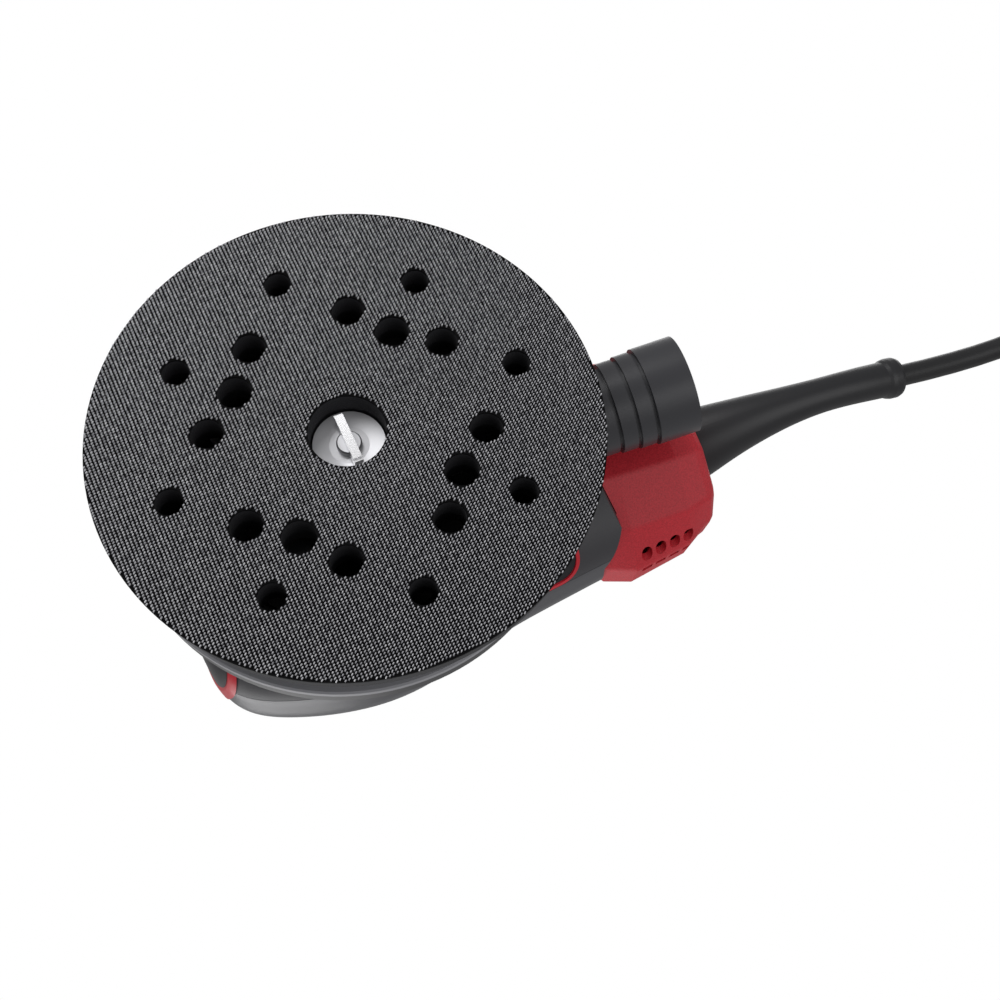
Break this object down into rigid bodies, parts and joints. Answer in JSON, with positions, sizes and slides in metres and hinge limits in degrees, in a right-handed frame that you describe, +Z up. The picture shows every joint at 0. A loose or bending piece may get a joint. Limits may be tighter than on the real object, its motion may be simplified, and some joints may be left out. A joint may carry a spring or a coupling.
{
  "type": "orbital sander",
  "caption": "Palm-grip random orbital sander with a 150 mm sanding pad, brushless motor, dust spout and rear lead with plug.",
  "frame": {"origin": "centre of the sanding face at rest", "axes": "+Z up from the sanding face to the palm grip, +X towards the tail, spout and lead, Y across the machine"},
  "size_m": [0.5215, 0.1841, 0.116],
  "materials": {
    "hook_fabric": "black woven hook facing with pale hook tips",
    "pad_foam": "closed-cell black foam",
    "pad_plastic": "glass-filled black moulding",
    "steel": "ground steel",
    "washer_steel": "satin zinc plated",
    "bright_steel": "bright zinc plated",
    "bearing_steel": "polished bearing steel",
    "cast_aluminium": "die cast",
    "fan_plastic": "moulded nylon",
    "laminated_steel": "stacked laminations",
    "magnet": "bonded ferrite",
    "copper_enamel": "enamelled copper wire",
    "charcoal_plastic": "fine spark texture",
    "gunmetal_plastic": "satin metallic grey",
    "black_plastic": "fine texture",
    "red_plastic": "satin moulded red",
    "red_soft": "satin red bead",
    "soft_grip": "soft-touch elastomer",
    "grey_rim": "satin grey elastomer",
    "black_rubber": "moulded rubber",
    "adaptor_plastic": "semi-rigid black moulding",
    "potting": "potting resin and aluminium fins",
    "cord_rubber": "rubber sheath",
    "tie_fabric": "woven hook-and-loop strap",
    "plug_plastic": "moulded plug",
    "pin_brass": "nickel-plated brass"
  },
  "bodies": {
    "housing": {"motor_bearing_outer_rings": "bearing_steel", "motor_bearing_balls": "bearing_steel", "stator_core": "laminated_steel", "stator_windings": "copper_enamel", "motor_can": "cast_aluminium", "bearing_plate": "cast_aluminium", "flange_screws": "bright_steel", "dust_shroud": "charcoal_plastic", "shroud_rim": "grey_rim", "brake_skirt": "black_rubber", "hose_adaptor": "adaptor_plastic", "lower_housing": "charcoal_plastic", "left_finger_grip": "soft_grip", "right_finger_grip": "soft_grip", "grip_piping": "red_soft", "left_side_cover": "gunmetal_plastic", "right_side_cover": "gunmetal_plastic", "front_nose": "black_plastic", "front_stripe": "red_plastic", "palm_grip": "soft_grip", "tail_deck": "charcoal_plastic", "switch_module": "black_plastic", "key_spring": "steel", "dial_block": "black_plastic", "control_module": "potting", "tail_cap": "red_plastic", "cord_clamp": "black_plastic", "cord_clamp_screws": "bright_steel", "strain_relief": "cord_rubber", "inner_lead": "cord_rubber", "cord": "cord_rubber", "cord_coil": "cord_rubber", "coil_tie": "tie_fabric", "plug_body": "plug_plastic", "plug_pins": "pin_brass"},
    "rotor": {"eccentric_carrier": "cast_aluminium", "counterweight": "steel", "dust_fan": "fan_plastic", "rotor_shaft": "steel", "rotor_core": "laminated_steel", "rotor_magnets": "magnet", "motor_bearing_inner_rings": "bearing_steel", "spindle_bearing_outer_rings": "bearing_steel", "spindle_bearing_balls": "bearing_steel"},
    "pad": {"spindle": "steel", "pad_hub": "steel", "pad_plate": "pad_plastic", "foam_pad": "pad_foam", "hook_facing": "hook_fabric", "spindle_bearing_inner_rings": "bearing_steel"},
    "washer": {"clamp_washer": "washer_steel"},
    "screw": {"clamp_screw": "bright_steel", "wing_key": "bright_steel"},
    "power_key": {"power_key": "black_plastic"},
    "speed_wheel": {"speed_wheel": "black_plastic"}
  },
  "joints": [
    {"name": "motor_spin", "type": "hinge", "parent": "housing", "child": "rotor", "pos_m": [-0.0025, 0, 0], "axis": [0, 0, 1], "continuous": true},
    {"name": "pad_spin", "type": "hinge", "parent": "rotor", "child": "pad", "pos_m": [0, 0, 0], "axis": [0, 0, 1], "continuous": true},
    {"name": "washer_slide", "type": "slide", "parent": "pad", "child": "washer", "axis": [0, 0, -1], "range_m": [0, 0.003]},
    {"name": "screw_turn", "type": "hinge", "parent": "washer", "child": "screw", "pos_m": [0, 0, 0], "axis": [0, 0, -1], "range_deg": [0, 1080]},
    {"name": "key_press", "type": "slide", "parent": "housing", "child": "power_key", "axis": [0, 0, -1], "range_m": [0, 0.0015], "stiffness_N_per_m": 900, "springref_m": -0.0005, "deforming": ["key_spring"]},
    {"name": "speed_turn", "type": "hinge", "parent": "housing", "child": "speed_wheel", "pos_m": [0.0685, 0, 0.0989], "axis": [0, 1, 0], "range_deg": [-135, 135]}
  ],
  "couplings": [
    {"joint": "screw_turn", "follows": "washer_slide", "rad_per_m": 6283.2}
  ]
}
